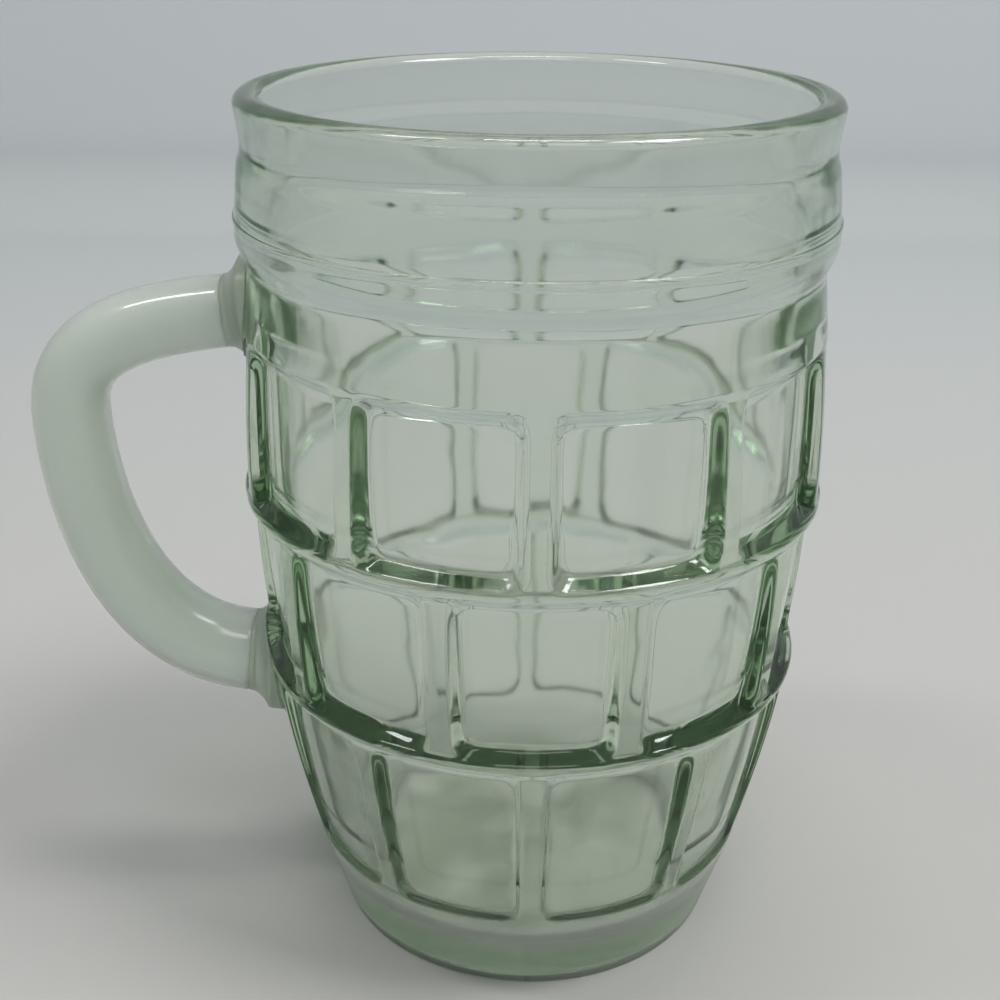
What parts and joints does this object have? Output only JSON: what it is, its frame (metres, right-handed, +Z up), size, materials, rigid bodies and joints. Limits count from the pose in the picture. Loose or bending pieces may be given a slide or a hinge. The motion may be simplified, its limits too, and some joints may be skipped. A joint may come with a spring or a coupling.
{
  "type": "beer mug",
  "caption": "Barrel-shaped pale green glass beer mug with staggered recessed windows, a raised collar under the rim and a welded-on loop handle.",
  "frame": {"origin": "on the barrel's axis, in the plane that the mug stands on", "axes": "+Z up along the barrel's axis, -X towards the handle, +Y across the handle's plane"},
  "size_m": [0.1232, 0.09, 0.135],
  "materials": {
    "barrel_glass": "clear pale green pressed glass, fire-polished",
    "weld_glass": "darker green fused glass at the welds",
    "handle_glass": "slightly milky pale green glass, soft gloss"
  },
  "bodies": {
    "root": {"barrel": "barrel_glass", "upper_handle_pad": "weld_glass", "lower_handle_pad": "weld_glass", "handle": "handle_glass"}
  },
  "joints": []
}
